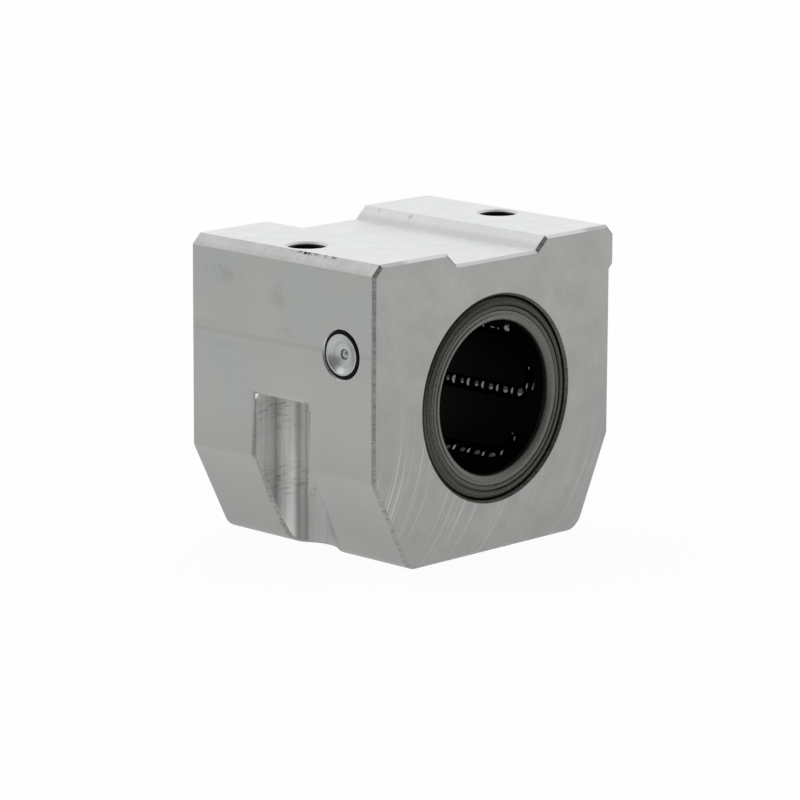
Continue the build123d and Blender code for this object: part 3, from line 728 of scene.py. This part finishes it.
def turnedSteel(name, dark, light, spacing, roughness, centre, spread=0.15):
    # Steel, turned and tumbled: satin with fine rings about its own axis, clearer for a smaller spread
    material, tree, shader, place, axes = newMaterial(name, {"Metallic": 1.0})
    fromAxis = addNode(tree, "VectorMath", {"operation": "SUBTRACT", 1: centre["point"]}, {0: place})[0]
    crossed = addNode(tree, "VectorMath", {"operation": "MULTIPLY", 1: centre["across"]},
                      {0: fromAxis})[0]
    radius = addNode(tree, "VectorMath", {"operation": "LENGTH"}, {0: crossed})["Value"]
    turned = addNode(tree, "CombineXYZ", {}, {0: radius, 1: axes[centre["axis"]]})[0]
    rings = addNode(tree, "TexNoise", {"Scale": 1 / spacing, "Detail": 2.0, "Roughness": 0.6},
                    {"Vector": turned})[0]
    grain = addNode(tree, "TexNoise", {"Scale": 2.5, "Detail": 3.0, "Roughness": 0.7}, {"Vector": place})[0]
    marks = addNode(tree, "Mix", {"data_type": "FLOAT", 0: 0.3}, {2: rings, 3: grain})[0]
    level = addNode(tree, "MapRange", {"From Min": 0.5 - spread, "From Max": 0.5 + spread},
                    {"Value": marks})[0]
    colour = addNode(tree, "Mix", {"data_type": "RGBA", 6: linear(dark), 7: linear(light)}, {0: level})[2]
    tree.links.new(colour, shader.inputs["Base Color"])
    rough = addNode(tree, "MapRange", {"From Min": 0.3, "From Max": 0.7, "To Min": roughness,
                                       "To Max": roughness + 0.12}, {"Value": grain})[0]
    tree.links.new(rough, shader.inputs["Roughness"])
    bump = addNode(tree, "Bump", {"Strength": 0.3, "Distance": 0.01 * mm}, {"Height": rings})[0]
    tree.links.new(bump, shader.inputs["Normal"])
    return material


def mouldedRubber(name, dark, light, roughness, shine, tooth=0.2, oily=False):
    # Moulded rubber or plastic: even colour with a fine tooth that softens its shine. Painted shade darkens
    # the inner part of a seal's lip.
    material, tree, shader, place, axes = newMaterial(name, {"Specular IOR Level": shine})
    grain = addNode(tree, "TexNoise", {"Scale": 3.0, "Detail": 3.0, "Roughness": 0.65},
                    {"Vector": place})[0]
    level = addNode(tree, "MapRange", {"From Min": 0.35, "From Max": 0.65}, {"Value": grain})[0]
    colour = addNode(tree, "Mix", {"data_type": "RGBA", 6: linear(dark), 7: linear(light)}, {0: level})[2]
    # Painted shade darkens the lip towards its inside
    if oily:
        litDepth, shadedDepth = fittings["oilDepths"]
        fromMiddle = addNode(tree, "Math", {"operation": "ABSOLUTE"}, {0: axes["Y"]})[0]
        deep = addNode(tree, "MapRange", {"interpolation_type": "SMOOTHSTEP", "From Min": litDepth,
                                          "From Max": shadedDepth, "To Max": fittings["oilShare"]},
                       {"Value": fromMiddle})[0]
        colour = addNode(tree, "Mix", {"data_type": "RGBA", 7: linear(fittings["oil"])},
                         {0: deep, 6: colour})[2]
    tree.links.new(colour, shader.inputs["Base Color"])
    rough = addNode(tree, "MapRange", {"From Min": 0.3, "From Max": 0.7, "To Min": roughness - 0.06,
                                       "To Max": roughness + 0.06}, {"Value": grain})[0]
    tree.links.new(rough, shader.inputs["Roughness"])
    bump = addNode(tree, "Bump", {"Strength": tooth, "Distance": 0.01 * mm}, {"Height": grain})[0]
    tree.links.new(bump, shader.inputs["Normal"])
    return material


def polishedSteel():
    # Bearing steel, ground and polished: a dark mirror under a film of oil
    material, tree, shader, place, axes = newMaterial("polishedSteel", {
        "Metallic": 1.0, "Base Color": linear(fittings["ball"])})
    film = addNode(tree, "TexNoise", {"Scale": 0.8, "Detail": 2.0}, {"Vector": place})[0]
    rough = addNode(tree, "MapRange", {"From Min": 0.35, "From Max": 0.65, "To Min": 0.08, "To Max": 0.18},
                    {"Value": film})[0]
    tree.links.new(rough, shader.inputs["Roughness"])
    return material


aboutShaft = {"point": (0, 0, 0), "across": (1, 0, 1), "axis": "Y"}
aboutNipple = {"point": (0, *block["seatPlace"]), "across": (0, 1, 1), "axis": "X"}
sleeveFinish = turnedSteel("turnedSleeveSteel", fittings["sleeveDark"], fittings["sleeveLight"],
                           spacing=0.22, roughness=0.36, centre=aboutShaft, spread=0.07)
retainerFinish = turnedSteel("turnedRingSteel", fittings["retainerDark"], fittings["retainerLight"],
                             spacing=0.2, roughness=0.32, centre=aboutShaft, spread=0.07)
nippleFinish = turnedSteel("platedNippleSteel", fittings["nippleDark"], fittings["nippleLight"],
                           spacing=0.3, roughness=0.3, centre=aboutNipple)
checkBallFinish = turnedSteel("dullBallSteel", fittings["checkBallDark"], fittings["checkBallLight"],
                              spacing=0.5, roughness=0.34, centre=aboutNipple)
wireFinish = turnedSteel("drawnSpringWire", fittings["wire"], fittings["nippleLight"],
                         spacing=0.5, roughness=0.3, centre=aboutNipple)
sealFinish = mouldedRubber("greySealRubber", fittings["sealDark"], fittings["sealLight"],
                           roughness=0.3, shine=0.6, tooth=0.05, oily=True)
cageFinish = mouldedRubber("blackCagePolymer", fittings["cageDark"], fittings["cageLight"],
                           roughness=0.5, shine=0.04)
ringFinish = mouldedRubber("blackRingRubber", fittings["ringDark"], fittings["ringLight"],
                           roughness=0.5, shine=0.08)
finishes = {
    "outer_sleeve": sleeveFinish,
    "front_seal_retainer": retainerFinish,
    "rear_seal_retainer": retainerFinish,
    "front_seal": sealFinish,
    "rear_seal": sealFinish,
    "ball_cage": cageFinish,
    "nipple_body": nippleFinish,
    "nipple_ball": checkBallFinish,
    "nipple_spring": wireFinish,
    "nipple_ring": ringFinish,
}
ballFinish = polishedSteel()
for nodeName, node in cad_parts.items():
    if "_row_" in nodeName:
        node.material_slots[0].material = ballFinish
    elif nodeName in finishes:
        node.material_slots[0].material = finishes[nodeName]
print("bushing and nipple finished")


def makeSpring():
    # The check ball's spring: a smooth-shaded copy that takes the CAD node's place
    mesh = bmesh.new()
    mesh.from_mesh(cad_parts["nipple_spring"].data)
    bmesh.ops.remove_doubles(mesh, verts=mesh.verts, dist=block["weld"] * mm)
    for face in mesh.faces:
        face.smooth = True
    piece = makeObject(mesh, "closingSpring", [wireFinish])
    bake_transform(piece)
    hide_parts("nipple_spring")


makeSpring()
